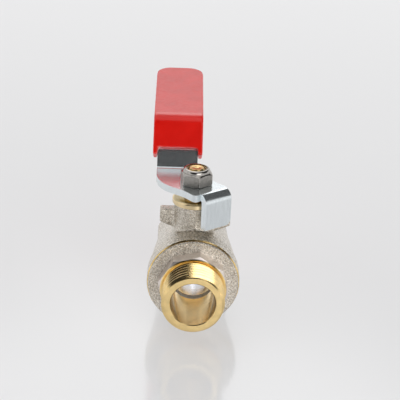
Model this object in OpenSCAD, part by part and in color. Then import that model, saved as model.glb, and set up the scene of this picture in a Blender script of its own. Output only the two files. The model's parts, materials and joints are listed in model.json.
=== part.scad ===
// Lever ball valve, half inch, male by female thread, shown open.
// Frame: origin where the pipe axis meets the stem axis, which is the ball's centre.
// +Y runs along the pipe from the male end to the female end, +Z runs up the stem.
// With the valve open the handle points along +Y.

/* [Pipe ends] */
// Diameter of the clear waterway
bore_d = 15; // [14.6:0.1:15.2]
// Crest diameter of the male pipe thread
male_thread_d = 20.955; // [20.8:0.005:20.955]
// Bore diameter of the female pipe thread
female_thread_d = 18.631; // [18.6:0.001:18.7]
// Distance from the stem axis to the male end face
male_reach = 32; // [31:0.5:34]
// Distance from the stem axis to the female end face
female_reach = 27; // [26:0.5:30]
// Length of the male thread with its runout
male_thread_len = 10.9; // [10:0.1:11.2]
// Depth of the female thread
female_thread_len = 11; // [9:0.5:11.5]
// Depth of the chamfers at the thread ends
thread_chamfer = 1; // [0.6:0.1:1.2]
// Diameter of the runout groove behind the male thread
runout_d = 18.6; // [18.2:0.1:19]

/* [End connector] */
// Size across the flats of the front wrench octagon
front_octagon_af = 22.2; // [22:0.1:23]
// Size across the flats of the rear wrench octagon
rear_octagon_af = 24; // [23.6:0.1:24.6]
// Turn of both octagons about the pipe
octagon_turn = 35.3; // [0:0.1:45]
// Diameter of the connector's flange
flange_d = 30.5; // [30:0.1:31]
// Distance from the stem axis to the flange's front face
flange_reach = 16.1; // [15.9:0.1:16.4]
// Bevel on the flange's front edge
flange_bevel = 0.5; // [0.3:0.1:0.6]

/* [Body] */
// Outside diameter of the body at the joint with the connector
body_d = 31.3; // [31:0.1:31.6]
// Distance from the stem axis to the body's front face
body_front = 15; // [14.9:0.05:15.1]
// Radius of the stem neck
neck_r = 7.2; // [7:0.1:7.6]
// Height of the neck's top face above the pipe axis
neck_top = 23.2; // [23:0.1:23.5]
// Outer end of the stop lugs from the stem axis
lug_reach = 12; // [11.8:0.1:12.2]
// Height of the stop lugs' top faces
lug_top = 20.6; // [20:0.1:21]

/* [Ball, seats and stem] */
// Ball diameter
ball_d = 25; // [24.8:0.1:25]
// Gap between the ball and the seat's curved face
seat_gap = 0.04; // [0.02:0.01:0.08]
// Stem diameter in the neck
stem_d = 8; // [7.8:0.1:8.1]
// Width of the stem tang that drives the ball
tang_w = 4.8; // [4.6:0.1:4.8]
// Width of the slot in the ball's top
slot_w = 5; // [4.95:0.01:5.1]
// Outside diameter of the stem's thread above the lever
stem_thread_d = 6; // [6:0.1:6]

/* [Lever] */
// Thickness of the lever sheet
sheet_t = 2.4; // [2.2:0.1:2.5]
// Height of the lever plate's top face
plate_top = 30.1; // [30:0.1:30.4]
// Width of the handle strip
strip_w = 14; // [13:0.5:14.5]
// Offset of the strip's centre line to the left of the stem
strip_offset = 6.6; // [6:0.1:7]
// Distance from the stem to the fold where the handle rises
riser_start = 13.2; // [13:0.1:15]
// Angle of the rising part
riser_angle = 50; // [42:1:56]
// Length of the rising part between its two folds
riser_len = 18.2; // [16:0.1:22]
// Upward tilt of the hand end
hand_tilt = 3; // [0:1:6]
// Length of the hand end past the upper fold, grip included
hand_len = 46.8; // [40:0.2:60]
// Direction the stop tab faces, from the +X side
tab_turn = -52.3; // [-54:0.1:-50]
// Height of the stop tab's lower edge
tab_bottom = 17.8; // [17:0.1:19]

/* [Grip] */
// Width of the plastic grip
grip_w = 17.3; // [16.8:0.1:18]
// Wall of the grip above and below the strip
grip_wall = 1.5; // [1.2:0.1:1.8]

/* [Lock nut] */
// Size across the nut's flats
nut_af = 10; // [10:0.1:10]
// Height of the nut with its collar
nut_h = 5.5; // [5.4:0.1:6]

/* [Hidden] */
$fn = 96;

EPS = 0.01;             // overlap that joins pieces of one solid
OVER = 1;               // how far a cutter runs past a face
FIT = 0.05;             // radial gap between threaded or turned pieces
bore_r = bore_d / 2;
ball_r = ball_d / 2;
stem_r = stem_d / 2;
male_r = male_thread_d / 2;
female_r = female_thread_d / 2;
body_r = body_d / 2;
flange_r = flange_d / 2;
octagon_front = male_reach - male_thread_len;   // where the front octagon starts
octagon_corner = 1 / cos(22.5);                 // corner radius per unit of half the flats

// Seats and the pocket they sit in, the same at both ends
seat_outer_r = 10.5;
seat_back = 12.6;       // flat back of the seat
seat_tip = 8.2;         // end of the seat nearest the ball's centre
spigot_r = 12.9;        // threaded tail of the connector, inside the body
spigot_end = 8;         // inner end of that tail
cavity_r = 12.75;       // room around the ball

// Faces of the stop lugs along the pipe
closed_stop_y = -1.8;   // the tab rests here when the valve is closed
open_stop_y = -3.8;     // and here when it is open
lug_back_y = 2.6;
// Underside of the stop lugs, at the stem side and at the outer end
lug_root_z = 13.2;
lug_bottom = 16;

// Stem stack, from the ball upward
tang_bottom = 9.3;
tang_len = 9;
stem_flange_r = 5.2;
stem_flange_bottom = 12.95;
stem_flange_top = 14.5;
washer_t = 0.5;
neck_hole_top = 18;     // floor of the packing box
packing_r = 5.5;
packing_t = 1.1;
o_ring_z = 16.5;
o_ring_wire = 1.2;
o_ring_groove_r = 3.1;
gland_r = 7.9;
gland_h = 2.2;
gland_thread_r = packing_r - FIT;
stem_flat_w = 5.6;      // across the flats that turn with the lever
plate_bottom = plate_top - sheet_t;
stem_top = plate_top + nut_h + 0.1;
stem_thread_r = stem_thread_d / 2;

// Sheet metal folds, radii on the sheet's middle line
riser_fold_r = 2.7;
hand_fold_r = 3.2;
tab_fold_r = 1.9;
tab_fold_start = 8.8;   // distance from the stem to the start of the tab's fold
tab_left = -4.9;        // ends of the tab along the fold
tab_right = 5.9;
tab_corner_r = 2;
riser_back = riser_fold_r * tan(riser_angle / 2);
hand_turn = riser_angle - hand_tilt;
hand_back = hand_fold_r * tan(hand_turn / 2);
riser_straight = riser_len - riser_back - hand_back;
hand_straight = hand_len - hand_back;
grip_end_gap = 1.8;     // plastic past the strip's end
grip_start = 4.1;       // distance up the rising part where the grip's side lobes begin
grip_lip = 2.5;         // how much further up its upper and lower lips begin
grip_t = sheet_t + 2 * grip_wall;
grip_end_r = 6;

nut_corner_r = nut_af / 2 / cos(30);
nut_turn = -80;         // one corner of the nut, from the +X side
nut_hex_h = 4.1;
nut_collar_r = 4.6;
insert_outer_r = 3.75;
insert_bottom = plate_top + 3.7;
insert_top = plate_top + nut_h - 0.3;

// ---------- shared shapes ----------

// Turns a shape made along +Z to lie along +Y.
module along_pipe() { rotate([-90, 0, 0]) children(); }

// A cylinder on the pipe axis between two places.
module pipe_cyl(from, to, r, r2 = -1) {
    along_pipe() translate([0, 0, from])
        cylinder(h = to - from, r1 = r, r2 = r2 < 0 ? r : r2);
}

// A wrench octagon on the pipe axis.
module pipe_octagon(from, to, af) {
    along_pipe() translate([0, 0, from]) rotate([0, 0, -octagon_turn])
        cylinder(h = to - from, r = af / 2 * octagon_corner, $fn = 8);
}

// A turned shape on the pipe axis from [place, radius] points.
module pipe_lathe(points) {
    along_pipe() rotate_extrude() polygon([for (p = points) [p[1], p[0]]]);
}

// A cylinder on the stem axis between two heights.
module stem_cyl(from, to, r, r2 = -1) {
    translate([0, 0, from]) cylinder(h = to - from, r1 = r, r2 = r2 < 0 ? r : r2);
}

// A washer on the stem axis.
module stem_ring(from, to, outer, inner) {
    difference() {
        stem_cyl(from, to, outer);
        stem_cyl(from - OVER, to + OVER, inner);
    }
}

// Part of a flat ring, from straight down round to the given angle.
module ring_part(r_in, r_out, angle) {
    reach = r_out * 2;
    intersection() {
        difference() {
            circle(r_out);
            circle(r_in);
        }
        polygon([[0, 0], [0, -reach], [reach * sin(angle / 2), -reach * cos(angle / 2)],
                 [reach * sin(angle), -reach * cos(angle)]]);
    }
}

// ---------- pressure parts ----------

// Forged body: barrel, neck, stop lugs, rear octagon and every machined bore.
module body() color([0.75, 0.71, 0.67]) {
    rear_from = 15;
    difference() {
        union() {
            pipe_lathe([[-body_front, 0], [-body_front, body_r - 0.5], [-body_front + 0.5, body_r],
                        [-8, body_r], [-7.6, body_r - 0.2],
                        [rear_from, 12.7], [rear_from, 0]]);
            intersection() {
                pipe_octagon(rear_from - 2, female_reach, rear_octagon_af);
                pipe_lathe([[rear_from - 3, 0], [rear_from - 3, 14], [female_reach - 1, 14],
                            [female_reach, 11.9], [female_reach, 0]]);
            }
            stem_cyl(9, neck_top, neck_r);
            stop_lug(-1, closed_stop_y, lug_back_y);
            stop_lug(1, open_stop_y, lug_back_y);
        }
        body_bores();
    }
}

// One stop lug, whose underside slopes down to the neck, on the -1 or +1 side.
module stop_lug(side, y0, y1) {
    translate([0, y1, 0]) rotate([90, 0, 0]) linear_extrude(y1 - y0)
        polygon([for (p = [[5, lug_root_z], [lug_reach - 0.7, lug_bottom], [lug_reach, lug_bottom + 0.7],
                           [lug_reach, lug_top - 0.8], [lug_reach - 0.25, lug_top - 0.25],
                           [lug_reach - 0.8, lug_top], [5, lug_top]]) [side * p[0], p[1]]]);
}

module body_bores() {
    // room for the connector's tail, the ball and the rear seat, then the waterway and the female thread
    thread_end = female_reach - female_thread_len;
    pipe_lathe([[-body_front - OVER, 0], [-body_front - OVER, spigot_r + FIT], [-spigot_end, spigot_r + FIT],
                [-spigot_end, cavity_r], [1.5, cavity_r], [5, cavity_r - 0.85], [seat_tip, seat_outer_r],
                [seat_back, seat_outer_r], [seat_back, bore_r], [thread_end, bore_r], [thread_end, female_r],
                [female_reach - thread_chamfer, female_r], [female_reach + EPS, female_r + thread_chamfer + EPS],
                [female_reach + OVER, female_r + thread_chamfer + EPS], [female_reach + OVER, 0]]);
    // stem passage and packing box
    stem_cyl(5, stem_flange_top + washer_t, stem_flange_r + 0.1);
    stem_cyl(5, neck_top + OVER, stem_r + FIT);
    stem_cyl(neck_hole_top, neck_top + OVER, packing_r);
}

// Screwed end piece with the male thread.
module end_connector() color([0.85, 0.72, 0.46]) {
    face = -male_reach;
    crest_end = -octagon_front - 1.4;
    difference() {
        union() {
            pipe_lathe([[face, 0], [face, male_r - thread_chamfer], [face + thread_chamfer, male_r],
                        [crest_end, male_r], [crest_end + 0.5, runout_d / 2], [-octagon_front + EPS, runout_d / 2],
                        [-octagon_front + EPS, 0]]);
            // octagon with its turned front cone
            intersection() {
                pipe_octagon(-octagon_front, -flange_reach + EPS, front_octagon_af);
                pipe_cyl(-octagon_front, -flange_reach + EPS, 10.9, 10.9 + octagon_front - flange_reach);
            }
            pipe_lathe([[-flange_reach, 0], [-flange_reach, flange_r - flange_bevel],
                        [-flange_reach + flange_bevel, flange_r], [-body_front - 0.25, flange_r],
                        [-body_front - 0.1, flange_r - 0.4], [-body_front, flange_r - 0.4], [-body_front, 0]]);
            pipe_cyl(-body_front - EPS, -spigot_end, spigot_r);
        }
        pipe_cyl(face - OVER, 0, bore_r);
        pipe_cyl(face - EPS, face + 0.4, bore_r + 0.4 + EPS, bore_r);
        pipe_cyl(-seat_back, 0, seat_outer_r);
    }
}

// Floating ball with its waterway and the slot the stem drives.
module ball() color([0.82, 0.82, 0.84]) difference() {
    slot_floor = 9.1;
    sphere(ball_r);
    pipe_cyl(-ball_d, ball_d, bore_r);
    translate([-ball_r, -slot_w / 2, slot_floor]) cube([ball_d, slot_w, ball_r]);
}

// PTFE seat ring, cut to the ball.
module seat() difference() {
    pipe_cyl(-seat_back, -seat_tip, seat_outer_r);
    pipe_cyl(-seat_back - OVER, 0, bore_r);
    sphere(ball_r + seat_gap);
}

module seat_front() color([0.95, 0.95, 0.93]) seat();

module seat_rear() color([0.95, 0.95, 0.93]) mirror([0, 1, 0]) seat();

// ---------- stem and seals ----------

// Stem with its driving tang, retaining flange, seal groove, flats and thread.
module stem() color([0.8, 0.66, 0.4]) {
    difference() {
        union() {
            intersection() {
                translate([-tang_len / 2, -tang_w / 2, tang_bottom])
                    cube([tang_len, tang_w, stem_flange_bottom - tang_bottom + EPS]);
                stem_cyl(tang_bottom, stem_flange_bottom + OVER, stem_flange_r - 0.2);
            }
            stem_cyl(stem_flange_bottom, stem_flange_top, stem_flange_r);
            stem_cyl(stem_flange_top - EPS, plate_bottom, stem_r);
            intersection() {
                stem_cyl(plate_bottom - EPS, plate_top - 0.2, stem_r);
                translate([-stem_flat_w / 2, -stem_d, plate_bottom - OVER]) cube([stem_flat_w, 2 * stem_d, 2 * sheet_t]);
            }
            stem_cyl(plate_top - 0.2 - EPS, stem_top - 0.5, stem_thread_r);
            stem_cyl(stem_top - 0.5 - EPS, stem_top, stem_thread_r, stem_thread_r - 0.5);
        }
        stem_ring(o_ring_z - 0.7, o_ring_z + 0.7, stem_r + OVER, o_ring_groove_r);
    }
}

// PTFE washer between the stem's flange and the body.
module thrust_washer() color([0.95, 0.95, 0.93])
    stem_ring(stem_flange_top, stem_flange_top + washer_t, stem_flange_r, stem_r + FIT);

// Rubber O-ring in the stem's groove.
module stem_o_ring() color([0.1, 0.1, 0.1])
    translate([0, 0, o_ring_z]) rotate_extrude()
        translate([stem_r - o_ring_wire / 2 + 0.04, 0]) circle(d = o_ring_wire, $fn = 32);

// PTFE packing rings under the gland nut.
module packing_ring(level) color([0.95, 0.95, 0.93])
    stem_ring(neck_hole_top + level * packing_t, neck_hole_top + (level + 1) * packing_t, packing_r, stem_r + FIT);

module packing_lower() packing_ring(0);

module packing_upper() packing_ring(1);

// Brass gland nut that squeezes the packing.
module gland_nut() color([0.8, 0.68, 0.45]) {
    thread_bottom = neck_hole_top + 2 * packing_t;
    chamfer = 0.7;
    difference() {
        union() {
            stem_cyl(thread_bottom, neck_top + EPS, gland_thread_r);
            stem_cyl(neck_top, neck_top + gland_h - chamfer, gland_r);
            stem_cyl(neck_top + gland_h - chamfer - EPS, neck_top + gland_h, gland_r, gland_r - chamfer);
        }
        stem_cyl(thread_bottom - OVER, neck_top + gland_h + OVER, stem_r + FIT);
    }
}

// ---------- lever ----------

// Moves children to the handle's side plane: their x becomes +Y and their y becomes +Z.
module side_plane() {
    rotate([90, 0, 90]) children();
}

// Places children at the lower fold's start on the sheet's middle line, then along the folds.
module at_riser() {
    translate([riser_start - riser_back, plate_top - sheet_t / 2])
        translate([0, riser_fold_r]) rotate(riser_angle) translate([0, -riser_fold_r]) children();
}

module at_hand() {
    at_riser() translate([riser_straight, -hand_fold_r]) rotate(-hand_turn) translate([0, hand_fold_r]) children();
}

// Side view of a band of the given thickness that follows the folded strip.
// It starts at the given distance up the rising part, or with the lower fold when that is negative.
module folded_band(t, from, length) {
    if (from < 0) translate([riser_start - riser_back, plate_top - sheet_t / 2 + riser_fold_r])
        ring_part(riser_fold_r - t / 2, riser_fold_r + t / 2, riser_angle);
    at_riser() translate([from, -t / 2]) square([riser_straight - from + EPS, t]);
    at_riser() translate([riser_straight, -hand_fold_r]) rotate(180 - hand_turn)
        ring_part(hand_fold_r - t / 2, hand_fold_r + t / 2, hand_turn);
    at_hand() translate([-EPS, -t / 2]) square([length, t]);
}

// Outline of the flat plate around the stem, from above.
module plate_outline() {
    left = -strip_offset - strip_w / 2;
    right = -strip_offset + strip_w / 2;
    polygon([[right, riser_start - riser_back + EPS], [right, 8.4], [1.2, 7], [5.6, 2.3], [10.3, -2.9],
             [8.1, -4.8], [1.5, -10.1], [0.7, -11.2], [-0.2, -11.6], [-1.1, -11.2], [-2.9, -8.9],
             [-4.1, -7.5], [-5.7, -6.1], [-8.4, -4.1], [-10.5, -2.2], [-11.9, 0], [-13, 2.6],
             [left, 6], [left, riser_start - riser_back + EPS]]);
}

// Pressed steel lever: plate, stop tab and folded strip.
module lever() color([0.8, 0.83, 0.85]) {
    strip_end = hand_straight - grip_end_gap;
    left = -strip_offset - strip_w / 2;
    difference() {
        union() {
            translate([0, 0, plate_bottom]) linear_extrude(sheet_t) plate_outline();
            translate([left, 0, 0]) side_plane() linear_extrude(strip_w) folded_band(sheet_t, -EPS, strip_end);
            rotate([0, 0, tab_turn]) stop_tab();
        }
        intersection() {
            stem_cyl(plate_bottom - OVER, plate_top + OVER, stem_r + FIT);
            translate([-stem_flat_w / 2 - FIT, -stem_d, plate_bottom - OVER])
                cube([stem_flat_w + 2 * FIT, 2 * stem_d, sheet_t + 2 * OVER]);
        }
    }
}

// The tab folded down from the plate, facing +X before it is turned.
module stop_tab() {
    middle = plate_top - sheet_t / 2;
    face_x = tab_fold_start + tab_fold_r;
    w = tab_right - tab_left;
    // fold
    translate([tab_fold_start - EPS, tab_right, middle - tab_fold_r]) rotate([90, 0, 0]) linear_extrude(w)
        mirror([0, 1]) ring_part(tab_fold_r - sheet_t / 2, tab_fold_r + sheet_t / 2, 90);
    translate([tab_fold_start - 2, tab_left, plate_bottom]) cube([2, w, sheet_t]);
    // face
    translate([face_x - sheet_t / 2, 0, 0]) rotate([90, 0, 90]) linear_extrude(sheet_t) {
        translate([tab_left, tab_bottom + tab_corner_r])
            square([w, middle - tab_fold_r - tab_bottom - tab_corner_r + EPS]);
        translate([tab_left, tab_bottom]) square([w - tab_corner_r, tab_corner_r + EPS]);
        translate([tab_right - tab_corner_r, tab_bottom + tab_corner_r]) circle(tab_corner_r);
    }
}

// Plan of the grip with its rounded far corners.
module grip_outline() {
    x = grip_w / 2;
    y = riser_start + riser_len * cos(riser_angle) + hand_len * cos(hand_tilt);
    r = grip_end_r;
    translate([-strip_offset, 0])
        polygon([[-x, 0], [x, 0], for (a = [0 : 15 : 90]) [x - r + r * cos(a), y - r + r * sin(a)],
                 for (a = [90 : 15 : 180]) [-x + r + r * cos(a), y - r + r * sin(a)]]);
}

// Dipped plastic grip over the rising part and the hand end.
module grip() color([0.85, 0.1, 0.08]) difference() {
    intersection() {
        translate([-strip_offset - grip_w / 2, 0, 0]) side_plane() linear_extrude(grip_w)
            folded_band(grip_t, grip_start, hand_straight);
        translate([0, 0, plate_top]) linear_extrude(40) grip_outline();
    }
    // room for the strip
    translate([-strip_offset - strip_w / 2, 0, 0]) side_plane() linear_extrude(strip_w)
        folded_band(sheet_t, -EPS, hand_straight - grip_end_gap);
    // upper and lower lips set back between the side lobes
    translate([-strip_offset - strip_w / 2, 0, 0]) side_plane() linear_extrude(strip_w)
        at_riser() translate([grip_start - OVER, -grip_t]) square([grip_lip + OVER, 2 * grip_t]);
}

// ---------- lock nut ----------

// Hexagon nut with a round collar that holds the insert.
module lock_nut() color([0.75, 0.76, 0.76]) {
    chamfer = 0.35;
    top = plate_top + nut_h;
    difference() {
        union() {
            intersection() {
                translate([0, 0, plate_top]) rotate([0, 0, nut_turn]) cylinder(h = nut_hex_h, r = nut_corner_r, $fn = 6);
                union() {
                    stem_cyl(plate_top, plate_top + chamfer, nut_corner_r - 0.6, nut_corner_r + EPS);
                    stem_cyl(plate_top + chamfer - EPS, plate_top + nut_hex_h - chamfer, nut_corner_r + OVER);
                    stem_cyl(plate_top + nut_hex_h - chamfer - EPS, plate_top + nut_hex_h, nut_corner_r + EPS, nut_corner_r - 0.6);
                }
            }
            stem_cyl(plate_top + nut_hex_h - EPS, top - 0.5, nut_collar_r);
            stem_cyl(top - 0.5 - EPS, top, nut_collar_r, nut_collar_r - 0.45);
        }
        stem_cyl(plate_top - OVER, top + OVER, stem_thread_r + 0.03);
        stem_cyl(insert_bottom, insert_top, insert_outer_r);
        stem_cyl(insert_top - EPS, top + OVER, insert_outer_r - 0.15);
    }
}

// Nylon ring that grips the stem's thread.
module lock_nut_insert() color([0.9, 0.9, 0.85])
    stem_ring(insert_bottom, insert_top, insert_outer_r, stem_thread_r + 0.03);

body();
end_connector();
ball();
seat_front();
seat_rear();
stem();
thrust_washer();
stem_o_ring();
packing_lower();
packing_upper();
gland_nut();
lever();
grip();
lock_nut();
lock_nut_insert();
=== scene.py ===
# %% [markdown]
# # A lever ball valve
# The valve has a forged body, a screwed end piece with a pipe thread, a ball, a stem and a pressed steel
# lever with a dipped plastic grip. The CAD frame already holds every piece at its real size. This lesson
# gives each visible piece the shape that its making leaves on it: forged blends, cut threads and
# sheared sheet. All lengths below are written in millimetres and turned into metres by MM.

# %% Load the frame
import json
import math

import bmesh
import bpy
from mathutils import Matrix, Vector


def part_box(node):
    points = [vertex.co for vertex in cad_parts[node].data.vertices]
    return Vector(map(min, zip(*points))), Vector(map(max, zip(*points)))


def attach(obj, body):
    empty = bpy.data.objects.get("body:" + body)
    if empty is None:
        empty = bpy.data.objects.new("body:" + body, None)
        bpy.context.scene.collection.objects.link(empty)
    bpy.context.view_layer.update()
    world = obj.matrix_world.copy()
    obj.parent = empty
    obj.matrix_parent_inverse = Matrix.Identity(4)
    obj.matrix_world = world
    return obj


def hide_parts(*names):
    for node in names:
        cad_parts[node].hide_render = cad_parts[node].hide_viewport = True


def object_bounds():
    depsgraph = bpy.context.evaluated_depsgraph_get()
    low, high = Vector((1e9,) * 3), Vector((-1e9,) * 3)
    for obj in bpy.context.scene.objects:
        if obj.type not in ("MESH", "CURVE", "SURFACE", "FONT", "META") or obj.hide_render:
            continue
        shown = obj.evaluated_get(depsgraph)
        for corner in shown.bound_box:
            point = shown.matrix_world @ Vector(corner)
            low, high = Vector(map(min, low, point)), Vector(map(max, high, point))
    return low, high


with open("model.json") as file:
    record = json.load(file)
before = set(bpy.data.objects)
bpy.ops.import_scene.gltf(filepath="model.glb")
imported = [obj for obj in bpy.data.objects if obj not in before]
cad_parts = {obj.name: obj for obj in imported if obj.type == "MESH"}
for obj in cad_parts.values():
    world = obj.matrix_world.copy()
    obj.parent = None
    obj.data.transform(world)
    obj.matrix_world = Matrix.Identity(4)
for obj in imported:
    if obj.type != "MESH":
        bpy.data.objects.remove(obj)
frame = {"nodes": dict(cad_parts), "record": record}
cad_low, cad_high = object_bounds()
MM = 0.001
PIPE = Vector((0, 1, 0))
STEM = Vector((0, 0, 1))
mount = {m["name"]: m for m in frame["record"]["mounts"]}
print("CAD box in mm:", [round(v / MM, 1) for v in (*cad_low, *cad_high)])

# %% [markdown]
# ## Tools for the bench
# An operator works on whatever is selected, and loading the frame leaves its nodes selected. So every step
# starts by selecting one piece and nothing else. In edit mode, points are chosen by where they are.

# %% Selecting and settling
DOUBLED = 0.002


def take(piece):
    """Make this piece the only one selected, in object mode."""
    if bpy.context.mode != "OBJECT":
        bpy.ops.object.mode_set(mode="OBJECT")
    bpy.ops.object.select_all(action="DESELECT")
    if piece:
        piece.select_set(True)
        bpy.context.view_layer.objects.active = piece


def edit(piece):
    """Open this piece in edit mode with all of it selected."""
    take(piece)
    bpy.ops.object.mode_set(mode="EDIT")
    bpy.ops.mesh.select_mode(type="VERT")
    bpy.ops.mesh.select_all(action="SELECT")


def settle(piece, name):
    """Leave edit mode, put the piece's place into its mesh and name it."""
    take(piece)
    bpy.ops.object.transform_apply(location=True, rotation=True, scale=True)
    piece.name = name
    piece.data.name = name
    return piece


def merge_points(piece, reach_mm):
    """Merge points that are closer together than this."""
    edit(piece)
    bpy.ops.mesh.remove_doubles(threshold=reach_mm * MM)
    take(piece)


def close_up(piece):
    """Merge doubled points and turn all faces outwards."""
    merge_points(piece, DOUBLED)
    edit(piece)
    bpy.ops.mesh.normals_make_consistent(inside=False)
    take(piece)


def smooth(piece, degrees=35):
    """Shade round surfaces smoothly and keep corners sharper than this angle."""
    take(piece)
    bpy.ops.object.shade_smooth_by_angle(angle=math.radians(degrees))


def join(first, *others):
    """Put several meshes into the first one."""
    take(first)
    for other in others:
        other.select_set(True)
    bpy.ops.object.join()
    return first


print("points closer than", DOUBLED, "mm count as one")

# %% [markdown]
# ## Turning on a lathe
# Half of a valve is turned: a profile goes round an axis. By hand that is a circle which is extruded along
# the axis and resized at each corner of the profile, so each ring is one tool position. A list of
# (place, radius) pairs is then enough to describe any turned shape. A ring of radius TIP is so small that
# its points merge into one, which closes an end.

# %% A turned piece
TIP = 0.001
UPRIGHT = (0, 0, 0)
ALONG_PIPE = (math.radians(-90), 0, 0)


def turned(name, rings, axis=PIPE, sides=96):
    """Turn a closed shape from (place, radius) rings in mm along an axis."""
    place, radius = rings[0]
    take(None)
    tilt = ALONG_PIPE if axis == PIPE else UPRIGHT
    bpy.ops.mesh.primitive_circle_add(vertices=sides, radius=radius * MM, location=axis * place * MM,
                                      rotation=tilt)
    piece = settle(bpy.context.object, name)
    edit(piece)
    across = Vector((1, 1, 1)) - axis
    for next_place, next_radius in rings[1:]:
        step = axis * (next_place - place) * MM
        bpy.ops.mesh.extrude_region_move(TRANSFORM_OT_translate={"value": step})
        if next_radius != radius:
            bpy.ops.transform.resize(value=across * (next_radius / radius) + axis,
                                     center_override=axis * next_place * MM)
        place, radius = next_place, next_radius
    take(piece)
    close_up(piece)
    return piece


def prism(name, sides, across_flats, start, end, axis, turn):
    """A straight bar with flats, such as a wrench octagon, with one corner at this turn from +X."""
    corner = across_flats / 2 / math.cos(math.pi / sides)
    take(None)
    tilt = ALONG_PIPE if axis == PIPE else UPRIGHT
    bpy.ops.mesh.primitive_cylinder_add(vertices=sides, radius=corner * MM, depth=(end - start) * MM,
                                        location=axis * (start + end) / 2 * MM, rotation=tilt)
    piece = settle(bpy.context.object, name)
    first = max((v.co for v in piece.data.vertices), key=lambda c: c.x)
    here = math.atan2(first.z, first.x) if axis == PIPE else math.atan2(first.y, first.x)
    sign = -1 if axis == PIPE else 1
    piece.rotation_euler = (axis * sign * (math.radians(turn) - here)).to_tuple()
    return settle(piece, name)


print("lathe ready: the pipe axis is", tuple(PIPE), "and the stem axis is", tuple(STEM))

# %% [markdown]
# ## Cutting with a tool shape
# Milling, drilling and boring are one shape taken away from another. A Boolean modifier does it, and
# applying it leaves a plain mesh. INTERSECT is the other way round: it trims a bar to a turned envelope,
# which is how a lathe rounds the corners of a wrench octagon.

# %% Booleans
def machine(piece, tool, how="DIFFERENCE"):
    """Cut, trim or weld a piece with a tool shape, which is used up."""
    step = piece.modifiers.new("step", "BOOLEAN")
    step.operation = how
    step.solver = "EXACT"
    step.object = tool
    take(piece)
    bpy.ops.object.modifier_apply(modifier=step.name)
    bpy.data.objects.remove(tool)
    return piece


print("cutting ready: DIFFERENCE bores, INTERSECT trims, UNION welds")

# %% [markdown]
# ## Cutting a thread
# A screw thread is one tooth swept round the axis while it climbs one pitch a turn. The screw operator does
# this: it climbs by the distance between the ends of the edge chain it is given. So the chain is exactly
# one pitch long, each turn meets the next, and merging doubles joins them into one skin. The operator
# climbs towards the chain's start, and with its axis turned round it leaves a right-hand thread.

# %% A threaded rod
def threaded_rod(name, root, crest, pitch, start, end, axis, steps=72):
    """A solid rod with a V thread between two places along an axis."""
    flat = pitch / 6
    flank = (pitch - 2 * flat) / 2
    rise = crest - root
    out = Vector((1, 0, 0))
    chain = [axis * flat, axis * flank + out * rise, axis * flat, axis * flank - out * rise]
    take(None)
    bpy.ops.mesh.primitive_plane_add(size=MM)
    rod = settle(bpy.context.object, name)
    edit(rod)
    bpy.ops.mesh.merge(type="CENTER")
    bpy.ops.transform.translate(value=(out * root + axis * (end + pitch)) * MM)
    for step in chain:
        bpy.ops.mesh.extrude_region_move(TRANSFORM_OT_translate={"value": step * MM})
    bpy.ops.mesh.select_all(action="SELECT")
    spare_turns = 3
    turns = math.ceil((end - start) / pitch) + spare_turns
    bpy.ops.mesh.screw(steps=steps, turns=turns, center=(0, 0, 0), axis=-axis)
    bpy.ops.mesh.select_all(action="SELECT")
    bpy.ops.mesh.remove_doubles(threshold=DOUBLED * MM)
    for place, side in ((start, -1), (end, 1)):
        bpy.ops.mesh.select_all(action="SELECT")
        bpy.ops.mesh.bisect(plane_co=axis * place * MM, plane_no=axis * side, clear_outer=True,
                            use_fill=True)
    close_up(rod)
    return rod


pitch = 25.4 / 14
print("the pipe thread climbs", round(pitch, 3), "mm a turn")

# %% [markdown]
# ## Finishes
# Every finish is built the same way by hand: a Principled shader whose constant values sit on its own
# sockets, with procedural textures for colour variation, roughness and bump. Textures read Object
# coordinates, so the grain has a real size in metres and stays with its piece when the valve moves.

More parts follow.
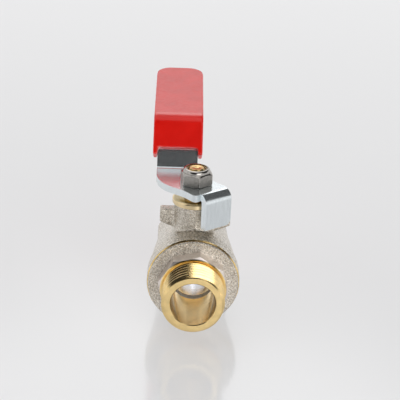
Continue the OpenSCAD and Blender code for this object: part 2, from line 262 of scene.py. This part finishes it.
# %% Shader helpers
class Finish:
    """A material with a few short ways to add nodes."""

    def __init__(self, name, colour, metallic, roughness):
        self.mat = bpy.data.materials.new(name)
        self.mat.use_nodes = True
        self.tree = self.mat.node_tree
        self.shader = self.tree.nodes["Principled BSDF"]
        self.shader.inputs["Base Color"].default_value = (*colour, 1)
        self.shader.inputs["Metallic"].default_value = metallic
        self.shader.inputs["Roughness"].default_value = roughness
        self.place = self.node("ShaderNodeTexCoord").outputs["Object"]

    def node(self, kind, **values):
        made = self.tree.nodes.new(kind)
        for key, value in values.items():
            setattr(made, key, value)
        return made

    def link(self, start, end):
        self.tree.links.new(start, end)

    def noise(self, size_mm, detail=3, vector=None, rough=0.5):
        """A noise whose lumps are about this many millimetres across."""
        made = self.node("ShaderNodeTexNoise")
        made.inputs["Scale"].default_value = 1 / (size_mm * MM)
        made.inputs["Detail"].default_value = detail
        made.inputs["Roughness"].default_value = rough
        self.link(vector or self.place, made.inputs["Vector"])
        return made.outputs["Fac"]

    def spread(self, value, low, high, start=0.3, end=0.7):
        """Map a texture value to a range."""
        made = self.node("ShaderNodeMapRange")
        for socket, number in (("From Min", start), ("From Max", end), ("To Min", low), ("To Max", high)):
            made.inputs[socket].default_value = number
        self.link(value, made.inputs["Value"])
        return made.outputs["Result"]

    def two_tone(self, value, first, second, start=0.35, end=0.65):
        """Blend the base colour between two tones by a texture value."""
        ramp = self.node("ShaderNodeValToRGB")
        ramp.color_ramp.elements[0].position = start
        ramp.color_ramp.elements[1].position = end
        ramp.color_ramp.elements[0].color = (*first, 1)
        ramp.color_ramp.elements[1].color = (*second, 1)
        self.link(value, ramp.inputs["Fac"])
        self.link(ramp.outputs["Color"], self.shader.inputs["Base Color"])

    def bump(self, value, depth_mm, strength=1.0):
        """Raise the surface by a texture value, on top of any earlier bump."""
        made = self.node("ShaderNodeBump")
        made.inputs["Distance"].default_value = depth_mm * MM
        made.inputs["Strength"].default_value = strength
        self.link(value, made.inputs["Height"])
        if self.shader.inputs["Normal"].is_linked:
            self.link(self.shader.inputs["Normal"].links[0].from_socket, made.inputs["Normal"])
        self.link(made.outputs["Normal"], self.shader.inputs["Normal"])

    def tool_marks(self, axis, feed_mm, depth_mm):
        """Fine rings round an axis, as a lathe tool leaves on faces and on cylinders."""
        flat = self.node("ShaderNodeVectorMath", operation="MULTIPLY")
        flat.inputs[1].default_value = Vector((1, 1, 1)) - axis
        self.link(self.place, flat.inputs[0])
        radius = self.node("ShaderNodeVectorMath", operation="LENGTH")
        self.link(flat.outputs["Vector"], radius.inputs[0])
        along = self.node("ShaderNodeVectorMath", operation="DOT_PRODUCT")
        along.inputs[1].default_value = axis
        self.link(self.place, along.inputs[0])
        both = self.node("ShaderNodeMath", operation="ADD")
        self.link(radius.outputs["Value"], both.inputs[0])
        self.link(along.outputs["Value"], both.inputs[1])
        lines = self.node("ShaderNodeTexNoise", noise_dimensions="1D")
        lines.inputs["Scale"].default_value = 1 / (feed_mm * MM)
        lines.inputs["Detail"].default_value = 2
        self.link(both.outputs["Value"], lines.inputs["W"])
        self.bump(lines.outputs["Fac"], depth_mm)
        return lines.outputs["Fac"]


print("a finish can:", [word for word in vars(Finish) if not word.startswith("_")])

# %% [markdown]
# ### Metals
# The body is forged, blasted and nickel plated, so it is matt with a fine grain, and the octagon's flats
# are nickel over a satin cut. Machined brass is bright and carries tool marks. The lever is zinc plated
# sheet: smooth, bluish, with faint streaks. The ball is polished chrome. In a metal, most of the colour
# that is seen is the colour of its reflections, so roughness matters more than the base colour does.

# %% Metal finishes
def blasted_nickel():
    f = Finish("blasted_nickel", (0.70, 0.65, 0.59), 1.0, 0.34)
    grain = f.noise(0.5, 4, rough=0.75)
    f.two_tone(grain, (0.38, 0.34, 0.28), (0.88, 0.82, 0.73), 0.38, 0.62)
    f.link(f.spread(f.noise(1.6), 0.2, 0.32), f.shader.inputs["Roughness"])
    f.bump(grain, 0.22)
    f.bump(f.noise(2.2, 2), 0.08)
    return f.mat


def wrench_nickel():
    f = Finish("wrench_nickel", (0.78, 0.71, 0.66), 1.0, 0.36)
    f.two_tone(f.noise(0.5, 4), (0.74, 0.67, 0.62), (0.86, 0.79, 0.74))
    f.link(f.spread(f.noise(1.2), 0.31, 0.42), f.shader.inputs["Roughness"])
    f.bump(f.noise(0.4, 3), 0.012)
    return f.mat


def turned_brass(name, axis, colour=(0.93, 0.69, 0.32), rough=0.15):
    f = Finish(name, colour, 1.0, rough)
    shade = tuple(c * 0.86 for c in colour)
    f.two_tone(f.noise(2.5, 3), shade, colour)
    marks = f.tool_marks(axis, 0.09, 0.006)
    f.link(f.spread(marks, rough * 0.8, rough * 1.4), f.shader.inputs["Roughness"])
    return f.mat


def chromed(axis):
    f = Finish("ball_chrome", (0.72, 0.72, 0.75), 1.0, 0.09)
    marks = f.tool_marks(axis, 0.12, 0.004)
    f.link(f.spread(marks, 0.07, 0.16), f.shader.inputs["Roughness"])
    return f.mat


def zinc_sheet():
    f = Finish("zinc_sheet", (0.72, 0.77, 0.79), 0.95, 0.22)
    stretch = f.node("ShaderNodeMapping")
    stretch.inputs["Scale"].default_value = (1, 1, 0.16)
    f.link(f.place, stretch.inputs["Vector"])
    streaks = f.noise(0.7, 4, stretch.outputs["Vector"])
    f.two_tone(streaks, (0.76, 0.81, 0.83), (0.83, 0.88, 0.90))
    f.link(f.spread(streaks, 0.19, 0.25), f.shader.inputs["Roughness"])
    f.bump(f.noise(0.3, 5, rough=0.8), 0.007)
    return f.mat


def zinc_nut():
    f = Finish("zinc_nut", (0.44, 0.42, 0.39), 1.0, 0.12)
    f.two_tone(f.noise(0.8, 3), (0.39, 0.37, 0.345), (0.48, 0.46, 0.43))
    f.link(f.spread(f.noise(0.5), 0.09, 0.14), f.shader.inputs["Roughness"])
    f.bump(f.noise(0.3, 3), 0.002)
    return f.mat


def milled_zinc():
    f = Finish("milled_zinc", (0.42, 0.40, 0.37), 1.0, 0.42)
    f.two_tone(f.noise(0.8, 3), (0.38, 0.36, 0.33), (0.47, 0.45, 0.42))
    f.link(f.spread(f.noise(0.4), 0.36, 0.48), f.shader.inputs["Roughness"])
    f.bump(f.noise(0.3, 3), 0.004)
    return f.mat


metals = (blasted_nickel, wrench_nickel, turned_brass, chromed, zinc_sheet, zinc_nut, milled_zinc)
print("metal finishes:", [maker.__name__ for maker in metals])

# %% [markdown]
# ### Plastics and rubber
# The grip is dipped: the lever is heated and lowered into liquid vinyl, which leaves a thick, glossy, very
# slightly wavy skin. A clear coat over a soft red gives that. The seats are waxy white PTFE, the nut's
# insert is nylon, and the seal is black rubber. The insert's brown is darker than its own amber tint, and
# that extra darkness is painted shade for the shadow it sits in below the collar's rim.

# %% Plastic finishes
def dipped_vinyl():
    f = Finish("dipped_vinyl", (0.90, 0.014, 0.008), 0.0, 0.34)
    f.shader.inputs["Specular IOR Level"].default_value = 0.2
    f.shader.inputs["Coat Weight"].default_value = 0.7
    f.shader.inputs["Coat Roughness"].default_value = 0.1
    f.shader.inputs["Subsurface Weight"].default_value = 0.06
    f.shader.inputs["Subsurface Radius"].default_value = (0.002, 0.0004, 0.0004)
    f.two_tone(f.noise(7, 3), (0.90, 0.008, 0.003), (0.98, 0.012, 0.006))
    f.link(f.spread(f.noise(1.4), 0.28, 0.4), f.shader.inputs["Roughness"])
    f.bump(f.noise(6, 2), 0.05, 0.5)
    return f.mat


def moulded(name, colour, rough, size_mm):
    f = Finish(name, colour, 0.0, rough)
    f.two_tone(f.noise(size_mm, 3), tuple(c * 0.93 for c in colour), colour)
    f.link(f.spread(f.noise(size_mm / 2), rough * 0.85, rough * 1.2), f.shader.inputs["Roughness"])
    f.bump(f.noise(size_mm / 4, 3), 0.008)
    return f.mat


nickel = blasted_nickel()
wrench = wrench_nickel()
brass = turned_brass("turned_brass", PIPE)
# The stem's brass is much darker than the other brass: painted shade of its end sunk inside the lock nut.
stem_brass = turned_brass("stem_brass", STEM, (0.66, 0.47, 0.21), 0.26)
gland_brass = turned_brass("gland_brass", STEM, (0.86, 0.69, 0.42), 0.14)
chrome = chromed(PIPE)
zinc = zinc_sheet()
nut_zinc = zinc_nut()
nut_flats = milled_zinc()
vinyl = dipped_vinyl()
ptfe = moulded("ptfe", (0.86, 0.86, 0.83), 0.42, 2)
# The insert's own amber tint is darkened here as painted shade of its recess under the collar's rim.
nylon = moulded("nylon", (0.34, 0.20, 0.06), 0.3, 2)
rubber = moulded("seal_rubber", (0.015, 0.015, 0.015), 0.5, 1)
print("finishes:", len(bpy.data.materials))

# %% Putting finishes on faces
def finish(piece, *mats):
    """Give a piece its materials; every face starts with the first one."""
    piece.data.materials.clear()
    for mat in mats:
        piece.data.materials.append(mat)
    for face in piece.data.polygons:
        face.material_index = 0


def finish_faces(piece, slot, test):
    """Give the faces that pass a test of (centre in mm, normal) another of the piece's materials."""
    count = 0
    for face in piece.data.polygons:
        if test(face.center / MM, face.normal):
            face.material_index = slot
            count += 1
    return count


def off_pipe(point):
    """Distance from the pipe axis."""
    return math.hypot(point.x, point.z)


print("materials ready to put on:", len(bpy.data.materials))

# %% [markdown]
# ## The end connector
# This is one piece of brass bar: pipe thread, wrench octagon, flange, and a tail inside the body. It is
# plated before the thread and the octagon's cone are cut, so those are bare brass and the flats and flange
# are nickel. It could be one profile and a thread, but flats can't be turned. So the thread is trimmed by
# a chamfered blank, the octagon by a turned cone, they are welded to a turned tail, and then the waterway
# is bored through all of it.

# %% Measures of the male end
face_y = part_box("end_connector")[0].y / MM
tail_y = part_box("end_connector")[1].y / MM
bore_r = mount["waterway"]["dims"]["r_mm"]
male_r = mount["male_thread"]["dims"]["r_mm"]
female_r = mount["female_thread"]["dims"]["r_mm"]
thread_length = 10.9
octagon_length = 5
octagon_turn = 35.3
octagon_y = face_y + thread_length
flange_y = octagon_y + octagon_length
joint_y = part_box("body")[0].y / MM
flange_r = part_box("end_connector")[1].x / MM
print("male face at", round(face_y, 2), "flange at", round(flange_y, 2), "joint at", round(joint_y, 2))

# %% The threaded nose
lead_in = 0.95
runout_r = male_r - 0.55
nose = threaded_rod("nose", female_r, male_r, pitch, face_y - 1, octagon_y + 1, PIPE)
blank = turned("blank", [(face_y, TIP), (face_y, male_r - lead_in), (face_y + lead_in, male_r + 0.02),
                         (octagon_y - 0.95, male_r + 0.02), (octagon_y - 0.35, male_r - 0.58),
                         (octagon_y - 0.3, TIP)])
machine(nose, blank, "INTERSECT")
runout = turned("runout", [(octagon_y - 0.9, TIP), (octagon_y - 0.9, runout_r),
                           (octagon_y + 0.4, runout_r), (octagon_y + 0.4, TIP)])
machine(nose, runout, "UNION")
print("thread faces:", len(nose.data.polygons))

# %% The octagon and the flange
across_flats = 22.2
tail_r = 12.9
octagon = prism("octagon", 8, across_flats, octagon_y, flange_y + 0.4, PIPE, octagon_turn)
cone = turned("cone", [(octagon_y, TIP), (octagon_y, 10.82), (octagon_y + 0.34, 11.16),
                       (octagon_y + 1.0, 12.32), (flange_y + 1, 12.32), (flange_y + 1, TIP)])
machine(octagon, cone, "INTERSECT")
tail = turned("tail", [(flange_y, TIP), (flange_y, flange_r - 0.3), (flange_y + 0.3, flange_r),
                       (joint_y - 0.5, flange_r), (joint_y - 0.5, flange_r - 0.75),
                       (joint_y, flange_r - 0.75), (joint_y, tail_r),
                       (tail_y - 0.3, tail_r), (tail_y, tail_r - 0.3), (tail_y, TIP)])
machine(octagon, tail, "UNION")
connector = machine(octagon, nose, "UNION")
print("connector faces:", len(connector.data.polygons))

# %% Boring the connector
seat_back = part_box("seat_front")[0].y / MM
seat_r = 10.5
drill = turned("drill", [(face_y - 1, TIP), (face_y - 1, bore_r + 1.5), (face_y, bore_r + 0.22),
                         (face_y + 0.22, bore_r), (seat_back, bore_r), (seat_back, seat_r),
                         (tail_y + 1, seat_r), (tail_y + 1, TIP)])
machine(connector, drill)
close_up(connector)
settle(connector, "end_piece")
smooth(connector, 22)
finish(connector, brass, wrench, nickel)


def is_flat(c, n):
    return octagon_y + 0.3 < c.y < flange_y and off_pipe(c) > 10.7


def is_flange(c, n):
    return flange_y - 0.05 < c.y < joint_y and off_pipe(c) > 10.9


print("flats:", finish_faces(connector, 1, is_flat), "flange:", finish_faces(connector, 2, is_flange))
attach(connector, "valve_body")
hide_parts("end_connector")

# %% [markdown]
# ## The forged body
# A forging has soft blends everywhere and crisp edges only where a tool has cut it. So the rough forging is
# made first: a turned barrel, an octagon socket, a neck and two stop lugs are joined, and a voxel remesh
# makes one skin of them. Smoothing that skin rounds its edges and fills its corners, as a die does. The
# bores and faces are cut afterwards, which leaves them sharp and in bare brass.

# %% The rough forging
socket_y = 15
rear_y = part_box("body")[1].y / MM
neck_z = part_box("body")[1].z / MM
neck_r = 7.2
body_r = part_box("body")[1].x / MM
forging = turned("forging", [(joint_y + 0.02, TIP), (joint_y + 0.02, body_r), (-8.2, body_r),
                             (-7.2, body_r - 0.25), (socket_y, 12.7), (socket_y, TIP)])
socket = prism("socket", 8, 24, socket_y - 3, rear_y - 0.02, PIPE, octagon_turn)
bpy.ops.mesh.primitive_cylinder_add(vertices=72, radius=neck_r * MM, depth=(neck_z - 8) * MM,
                                    location=(0, 0, (neck_z + 8) / 2 * MM))
neck = settle(bpy.context.object, "neck")
print("barrel radius", round(body_r, 2), "neck radius", neck_r, "neck top", round(neck_z, 2))

# %% Stop lugs and the flash line
lug_top = 20.6
lug_bottom = 16.2
lug_reach = 12.0
lug_root = 5


def stop_lug(side, front, back):
    """A block beside the neck whose underside slopes down to the neck."""
    take(None)
    width = lug_reach - lug_root
    height = lug_top - lug_bottom
    bpy.ops.mesh.primitive_cube_add(size=1, scale=(width * MM, (back - front) * MM, height * MM),
                                    location=(side * (lug_reach - width / 2) * MM, (front + back) / 2 * MM,
                                              (lug_top - height / 2) * MM))
    lug = settle(bpy.context.object, "lug")
    edit(lug)
    bpy.ops.mesh.select_mode(type="VERT")
    bpy.ops.mesh.select_all(action="DESELECT")
    mesh = bmesh.from_edit_mesh(lug.data)
    for v in mesh.verts:
        v.select = v.co.z < (lug_bottom + 1) * MM and abs(v.co.x) < (lug_root + 1) * MM
    bmesh.update_edit_mesh(lug.data)
    bpy.ops.transform.translate(value=(0, 0, -3 * MM))
    take(lug)
    return lug


def flash_line(front, back, height):
    """The low ridge that the joint of two dies leaves along the top of a forging."""
    take(None)
    bpy.ops.mesh.primitive_cube_add(size=1, scale=(0.9 * MM, (back - front) * MM, 4 * MM),
                                    location=(0, (front + back) / 2 * MM, (height - 2) * MM))
    return settle(bpy.context.object, "flash")


join(forging, socket, neck, stop_lug(-1, -1.8, 2.6), stop_lug(1, -3.8, 2.6),
     flash_line(joint_y + 0.1, -6, 15.95))
print("forging in parts, points:", len(forging.data.vertices))

# %% One skin
forging.data.remesh_voxel_size = 0.3 * MM
take(forging)
bpy.ops.object.voxel_remesh()
edit(forging)
bpy.ops.mesh.vertices_smooth(factor=0.5, repeat=5)
take(forging)
print("forging faces:", len(forging.data.polygons))

# %% Blending the neck into the barrel
# A die has a generous radius where the neck leaves the barrel, so the points there get more smoothing.
edit(forging)
bpy.ops.mesh.select_all(action="DESELECT")
mesh = bmesh.from_edit_mesh(forging.data)
for v in mesh.verts:
    x, y, z = v.co / MM
    near_neck = abs(math.hypot(x, y) - 7.4) < 1.5 and 12 < z < 16.5
    v.select = near_neck and y > -6
bmesh.update_edit_mesh(forging.data)
bpy.ops.mesh.vertices_smooth(factor=0.5, repeat=14)
take(forging)
print("forging top at", round(max(v.co.z for v in forging.data.vertices) / MM, 2), "mm")

# %% Facing and boring the forging
seat_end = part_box("seat_rear")[1].y / MM
thread_y = rear_y - 10.6
bore_cut = turned("bore_cut", [(joint_y - 1, TIP), (joint_y - 1, 12.95), (tail_y, 12.95), (tail_y, 12.75),
                               (1.5, 12.75), (5, 11.9), (8.2, seat_r), (seat_end, seat_r),
                               (seat_end, bore_r), (thread_y, bore_r), (thread_y, female_r),
                               (rear_y - 1.1, female_r), (rear_y + 0.2, male_r + 0.35),
                               (rear_y + 1, male_r + 0.35), (rear_y + 1, TIP)])
joint_cut = turned("joint_cut", [(joint_y - 1, 14.4), (joint_y + 0.04, 14.4), (joint_y + 0.04, 15.25),
                                 (joint_y + 0.34, 15.55), (joint_y + 0.34, 18), (joint_y - 1, 18),
                                 (joint_y - 1, 14.4)])
rear_cut = turned("rear_cut", [(rear_y + 1, 10), (rear_y, 10), (rear_y, 11.75), (rear_y - 0.9, 12.85),
                               (rear_y - 0.9, 16), (rear_y + 1, 16), (rear_y + 1, 10)])
neck_cut = turned("neck_cut", [(5, TIP), (5, 4.1), (18, 4.1), (18, 5.5), (neck_z - 0.4, 5.5),
                               (neck_z + 0.1, 6), (neck_z + 1, 6), (neck_z + 1, TIP)], STEM)
for tool in (bore_cut, joint_cut, rear_cut, neck_cut):
    machine(forging, tool)
tap = threaded_rod("tap", female_r - 0.02, male_r, pitch, rear_y - 10, rear_y + 1.5, PIPE)
machine(forging, tap)
close_up(forging)
settle(forging, "forged_body")
smooth(forging, 24)
finish(forging, nickel, brass)


def is_machined(c, n):
    bored = off_pipe(c) < 10.75
    counterbored = off_pipe(c) < 12.97 and n.dot(Vector((c.x, 0, c.z))) < 0
    joint = c.y < joint_y + 0.34
    end_face = c.y > rear_y - 0.93 and n.y > 0.3
    neck_bore = math.hypot(c.x, c.y) < 6.05 and c.z > 12
    return bored or counterbored or joint or end_face or neck_bore


print("machined faces:", finish_faces(forging, 1, is_machined), "of", len(forging.data.polygons))
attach(forging, "valve_body")
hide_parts("body")

# %% [markdown]
# ## The ball
# The ball is turned, bored and slotted, then chrome plated. It starts as a sphere with enough segments for
# a clean reflection, and the bore and slot are cut with tool shapes.

# %% Ball
take(None)
ball_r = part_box("ball")[1].x / MM
bpy.ops.mesh.primitive_uv_sphere_add(segments=128, ring_count=64, radius=ball_r * MM)
ball = settle(bpy.context.object, "chromed_ball")
flat_y = math.sqrt(ball_r ** 2 - bore_r ** 2)
ball_drill = turned("ball_drill", [(-ball_r, TIP), (-ball_r, bore_r + 1), (-flat_y - 0.1, bore_r + 0.2),
                                   (-flat_y + 0.1, bore_r), (flat_y - 0.1, bore_r),
                                   (flat_y + 0.1, bore_r + 0.2), (ball_r, bore_r + 1), (ball_r, TIP)])
machine(ball, ball_drill)

# %% The stem's slot in the ball
slot_width = 5
slot_floor = 9.1
cutter_height = 8
take(None)
bpy.ops.mesh.primitive_cube_add(size=1, scale=(30 * MM, slot_width * MM, cutter_height * MM),
                                location=(0, 0, (slot_floor + cutter_height / 2) * MM))
machine(ball, settle(bpy.context.object, "slot_cutter"))
close_up(ball)
smooth(ball, 18)
finish(ball, chrome)
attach(ball, "ball")
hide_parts("ball")
print("ball radius", round(ball_r, 2), "faces:", len(ball.data.polygons))

# %% [markdown]
# ## The stem
# Its lower end is already right in the CAD frame, so a copy of that mesh is cut off above the lever's flats
# and a real M6 thread takes its place. The end gets the chamfer and centre mark that turning leaves.

# %% Stem
def copy_of(node, name):
    """A merged copy of a CAD node's mesh, ready for edit mode."""
    source = frame["nodes"][node]
    mesh_copy = source.data.copy()
    piece = bpy.data.objects.new(name, mesh_copy)
    bpy.context.scene.collection.objects.link(piece)
    mesh_copy.transform(source.matrix_world)
    close_up(piece)
    return piece


plate_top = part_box("lock_nut")[0].z / MM
stem_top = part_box("stem")[1].z / MM
stem = copy_of("stem", "drive_stem")
edit(stem)
bpy.ops.mesh.bisect(plane_co=(0, 0, (plate_top - 0.1) * MM), plane_no=(0, 0, 1), clear_outer=True,
                    use_fill=True)
take(stem)
m6_root = 2.4
m6_crest = 2.99
m6_pitch = 1.0
screw_end = threaded_rod("screw_end", m6_root, m6_crest, m6_pitch, plate_top - 0.6, stem_top + 1, STEM, 48)
end_blank = turned("end_blank", [(plate_top - 0.5, TIP), (plate_top - 0.5, 3.0), (stem_top - 0.75, 3.0),
                                 (stem_top - 0.12, 2.42), (stem_top, 2.25), (stem_top, 0.9),
                                 (stem_top - 0.55, TIP)], STEM, 64)
machine(screw_end, end_blank, "INTERSECT")
machine(stem, screw_end, "UNION")
close_up(stem)
settle(stem, "drive_stem")
smooth(stem, 22)
# The darker brass on the stem is painted shade of its end inside the nut.
finish(stem, stem_brass)
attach(stem, "handle")
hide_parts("stem")
print("stem faces:", len(stem.data.polygons))

# %% [markdown]
# ## The gland nut
# A short turned nut that squeezes the packing round the stem. It could be a cylinder with a hole cut in it,
# but its whole section is one closed profile: a spigot inside the neck, a wide rim with a chamfer, and the
# bore. Turning that profile round the stem makes the nut in one step.

# %% Gland nut
gland_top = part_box("gland_nut")[1].z / MM
gland_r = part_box("gland_nut")[1].x / MM
gland = turned("gland", [(neck_z - 3, 4.06), (neck_z - 3, 5.4), (neck_z, 5.4), (neck_z, gland_r - 0.25),
                         (neck_z + 0.2, gland_r), (gland_top - 0.75, gland_r),
                         (gland_top - 0.2, gland_r - 0.5), (gland_top, gland_r - 0.95),
                         (gland_top, 4.6), (gland_top - 0.4, 4.06), (neck_z - 3, 4.06)], STEM)
settle(gland, "gland_ring")
smooth(gland, 28)
finish(gland, gland_brass)
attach(gland, "valve_body")
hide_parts("gland_nut")
print("gland nut top at", round(gland_top, 2), "radius", round(gland_r, 2))

# %% [markdown]
# ## The lever
# The lever is cut from sheet, folded in a press, tumbled and zinc plated. It could be extruded and folded
# again by hand, but its outline and folds are settled in the CAD frame, so the piece is a copy of that
# node. Flat triangles are dissolved into whole faces, and the few points that nearly touch are merged. The
# sheared edges stay crisp, and weighted normals keep the flats flat right up to the folds.

# %% Edges and shading
def soften(piece, width_mm, segments=3, degrees=40):
    """Round the edges of a piece that are sharper than an angle."""
    edges = piece.modifiers.new("edges", "BEVEL")
    edges.width = width_mm * MM
    edges.segments = segments
    edges.limit_method = "ANGLE"
    edges.angle_limit = math.radians(degrees)
    edges.use_clamp_overlap = True
    take(piece)
    bpy.ops.object.modifier_apply(modifier=edges.name)


def even_shading(piece, degrees):
    """Smooth by angle, with each flat keeping its own normal right up to its rounded edges."""
    smooth(piece, degrees)
    weights = piece.modifiers.new("weights", "WEIGHTED_NORMAL")
    weights.keep_sharp = True
    take(piece)
    bpy.ops.object.modifier_apply(modifier=weights.name)


def dissolve_flats(piece, degrees=0.6):
    """Turn coplanar triangles into whole faces."""
    edit(piece)
    bpy.ops.mesh.dissolve_limited(angle_limit=math.radians(degrees))
    take(piece)


print("sheet tools ready: soften, even_shading, dissolve_flats")

# %% Lever
lever = copy_of("lever", "pressed_lever")
dissolve_flats(lever)
merge_points(lever, 0.05)
even_shading(lever, 24)
finish(lever, zinc)
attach(lever, "handle")
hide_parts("lever")
print("lever faces:", len(lever.data.polygons))

# %% [markdown]
# ## The grip
# Dipped vinyl has no sharp edge anywhere: surface tension rounds it as it gels. The CAD node gives the
# length, the fold and the set-back lips. A remesh makes an even skin of it, and smoothing pulls every edge
# round, most of all at the thin lobes beside the strip.

# %% Grip
grip = copy_of("grip", "dipped_grip")
dissolve_flats(grip)
soften(grip, 1.3, 3, 50)
grip.data.remesh_voxel_size = 0.33 * MM
take(grip)
bpy.ops.object.voxel_remesh()
edit(grip)
bpy.ops.mesh.vertices_smooth(factor=0.5, repeat=10)
bpy.ops.mesh.select_all(action="DESELECT")
mesh = bmesh.from_edit_mesh(grip.data)
lobe_end = min(v.co.z for v in mesh.verts)
lobe_height = 2.5
for v in mesh.verts:
    v.select = v.co.z < lobe_end + lobe_height * MM
bmesh.update_edit_mesh(grip.data)
bpy.ops.mesh.vertices_smooth(factor=0.5, repeat=12)
take(grip)
bpy.ops.object.shade_smooth()
finish(grip, vinyl)
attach(grip, "handle")
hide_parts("grip")
print("grip faces:", len(grip.data.polygons))

# %% [markdown]
# ## The lock nut
# A hexagon bar is trimmed by a turned envelope, which gives the curved corner chamfers, and a round collar
# is welded on top. The collar is rolled in over the nylon ring.

# %% Lock nut
nut_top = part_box("lock_nut")[1].z / MM
nut_flats_mm = 10
nut_turn = -80
hexagon = prism("hexagon", 6, nut_flats_mm, plate_top + 0.02, plate_top + 4.3, STEM, nut_turn)
soften(hexagon, 0.2, 2, 50)
envelope = turned("envelope", [(plate_top, TIP), (plate_top, 4.9), (plate_top + 0.45, 5.8),
                               (plate_top + 3.55, 5.8), (plate_top + 4.25, 4.75),
                               (plate_top + 4.25, TIP)], STEM)
machine(hexagon, envelope, "INTERSECT")
print("hexagon faces:", len(hexagon.data.polygons))

# %% Collar and bore of the lock nut
roll_r = 0.9
roll = []
for degree in range(0, 91, 10):
    angle = math.radians(degree)
    roll.append((nut_top - roll_r + roll_r * math.sin(angle), 3.72 + roll_r * math.cos(angle)))
collar = turned("collar", [(plate_top + 3.5, TIP), (plate_top + 3.5, 4.62), *roll, (nut_top, TIP)], STEM)
machine(hexagon, collar, "UNION")
thread_r = 3.03
insert_r = 3.75
nut_bore = turned("nut_bore", [(plate_top - 1, TIP), (plate_top - 1, 3.3), (plate_top, 3.3),
                               (plate_top + 0.3, thread_r), (plate_top + 3.7, thread_r),
                               (plate_top + 3.7, insert_r), (nut_top - 0.3, insert_r),
                               (nut_top - 0.12, 3.62), (nut_top + 1, 3.7), (nut_top + 1, TIP)], STEM)
machine(hexagon, nut_bore)
close_up(hexagon)
settle(hexagon, "lock_nut_shell")
even_shading(hexagon, 24)
finish(hexagon, nut_zinc, nut_flats)
finish_faces(hexagon, 1, lambda c, n: abs(n.z) < 0.05 and 4.9 < math.hypot(c.x, c.y) < 5.25)
print("lock nut top at", round(nut_top, 2), "faces:", len(hexagon.data.polygons))
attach(hexagon, "handle")
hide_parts("lock_nut")

# %% [markdown]
# ## Seals
# The seats, the packing, the washer, the O-ring and the nut's insert have the right shape in the frame.
# They keep their meshes and get their own finishes.

# %% Seals
for node in ("seat_front", "seat_rear", "thrust_washer", "packing_lower", "packing_upper"):
    finish(frame["nodes"][node], ptfe)
finish(frame["nodes"]["stem_o_ring"], rubber)
# The insert's darker brown is painted shade of its recess inside the nut.
finish(frame["nodes"]["lock_nut_insert"], nylon)
print("seals and insert finished: 7 nodes keep their own meshes")

# %% [markdown]
# ## Floor and light
# A product shot on a pale sheet: the floor is a large plane with a faint gloss. Lamps could light it, but
# polished metal shows whatever surrounds it. So the light comes from the whole surrounding, painted by
# direction: an even pale room, one small bright patch high behind the valve, two dark patches high on the
# right, a large dark one above the camera, and a softbox low to the camera's right.

# %% Floor
take(None)
bpy.ops.mesh.primitive_plane_add(size=6, location=(0, 1.5, cad_low.z))
floor = settle(bpy.context.object, "floor")
sheet = Finish("pale_floor", (0.38, 0.38, 0.38), 0.0, 0.14)
sheet.shader.inputs["Emission Color"].default_value = (0.985, 0.985, 1.0, 1)
sheet.shader.inputs["Emission Strength"].default_value = 0.44
sheet.link(sheet.spread(sheet.noise(40), 0.12, 0.16), sheet.shader.inputs["Roughness"])
finish(floor, sheet.mat)
print("floor at", round(cad_low.z / MM, 2), "mm")

# %% Surrounding light
world = bpy.data.worlds.new("studio")
bpy.context.scene.world = world
world.use_nodes = True
studio = world.node_tree
direction = studio.nodes.new("ShaderNodeTexCoord").outputs["Generated"]


def patch(under, side, height, size, edge, level):
    """Lay a round patch of light over the rest.

    Side is its angle round from straight behind the valve, height its angle above the floor, size its
    angular radius and edge the width of its soft rim, all in degrees.
    """
    side, height = math.radians(side), math.radians(height)
    middle = Vector((math.sin(side) * math.cos(height), math.cos(side) * math.cos(height),
                     math.sin(height)))
    dot = studio.nodes.new("ShaderNodeVectorMath")
    dot.operation = "DOT_PRODUCT"
    dot.inputs[1].default_value = middle
    studio.links.new(direction, dot.inputs[0])
    mask = studio.nodes.new("ShaderNodeMapRange")
    mask.interpolation_type = "SMOOTHSTEP"
    mask.inputs["From Min"].default_value = math.cos(math.radians(size + edge))
    mask.inputs["From Max"].default_value = math.cos(math.radians(size))
    studio.links.new(dot.outputs["Value"], mask.inputs["Value"])
    mix = studio.nodes.new("ShaderNodeMix")
    studio.links.new(mask.outputs["Result"], mix.inputs["Factor"])
    studio.links.new(under, mix.inputs["A"])
    mix.inputs["B"].default_value = level
    return mix.outputs["Result"]


room = studio.nodes.new("ShaderNodeValue")
room.outputs[0].default_value = 0.88
light = patch(room.outputs[0], 0, 42, 13, 4, 2.2)
light = patch(light, 50, 52, 24, 7, 0.06)
light = patch(light, 94, 36, 20, 7, 0.06)
light = patch(light, 196, 38, 36, 6, 0.03)
light = patch(light, 160, 20, 18, 4, 2.7)
studio.links.new(light, studio.nodes["Background"].inputs["Strength"])
studio.nodes["Background"].inputs["Color"].default_value = (1.0, 1.0, 1.0, 1)
print("world nodes:", len(studio.nodes))

# %% [markdown]
# ## Camera
# A long lens from in front of the male end, a little above, looking down at the stem. The camera could be
# aimed with a constraint, but its place and turn are worked out here, so nothing has to be solved later.

# %% Camera
target = Vector((1.5, 0, 23.8)) * MM
distance = 0.5
rise = math.radians(22.84)
swing = math.radians(-1.07)
lean = math.radians(2.3)
back = Vector((math.sin(swing) * math.cos(rise), -math.cos(swing) * math.cos(rise), math.sin(rise)))
camera_data = bpy.data.cameras.new("camera")
camera = bpy.data.objects.new("camera", camera_data)
bpy.context.scene.collection.objects.link(camera)
camera_data.lens = 132.2
camera_data.sensor_width = 36
camera_data.clip_start = 0.01
camera.rotation_euler = back.to_track_quat("Z", "Y").to_euler()
camera.rotation_euler.rotate_axis("Z", lean)
camera.location = target + back * distance
bpy.context.scene.camera = camera
bpy.context.scene.view_settings.view_transform = "Standard"
print("camera at", [round(v, 3) for v in camera.location])
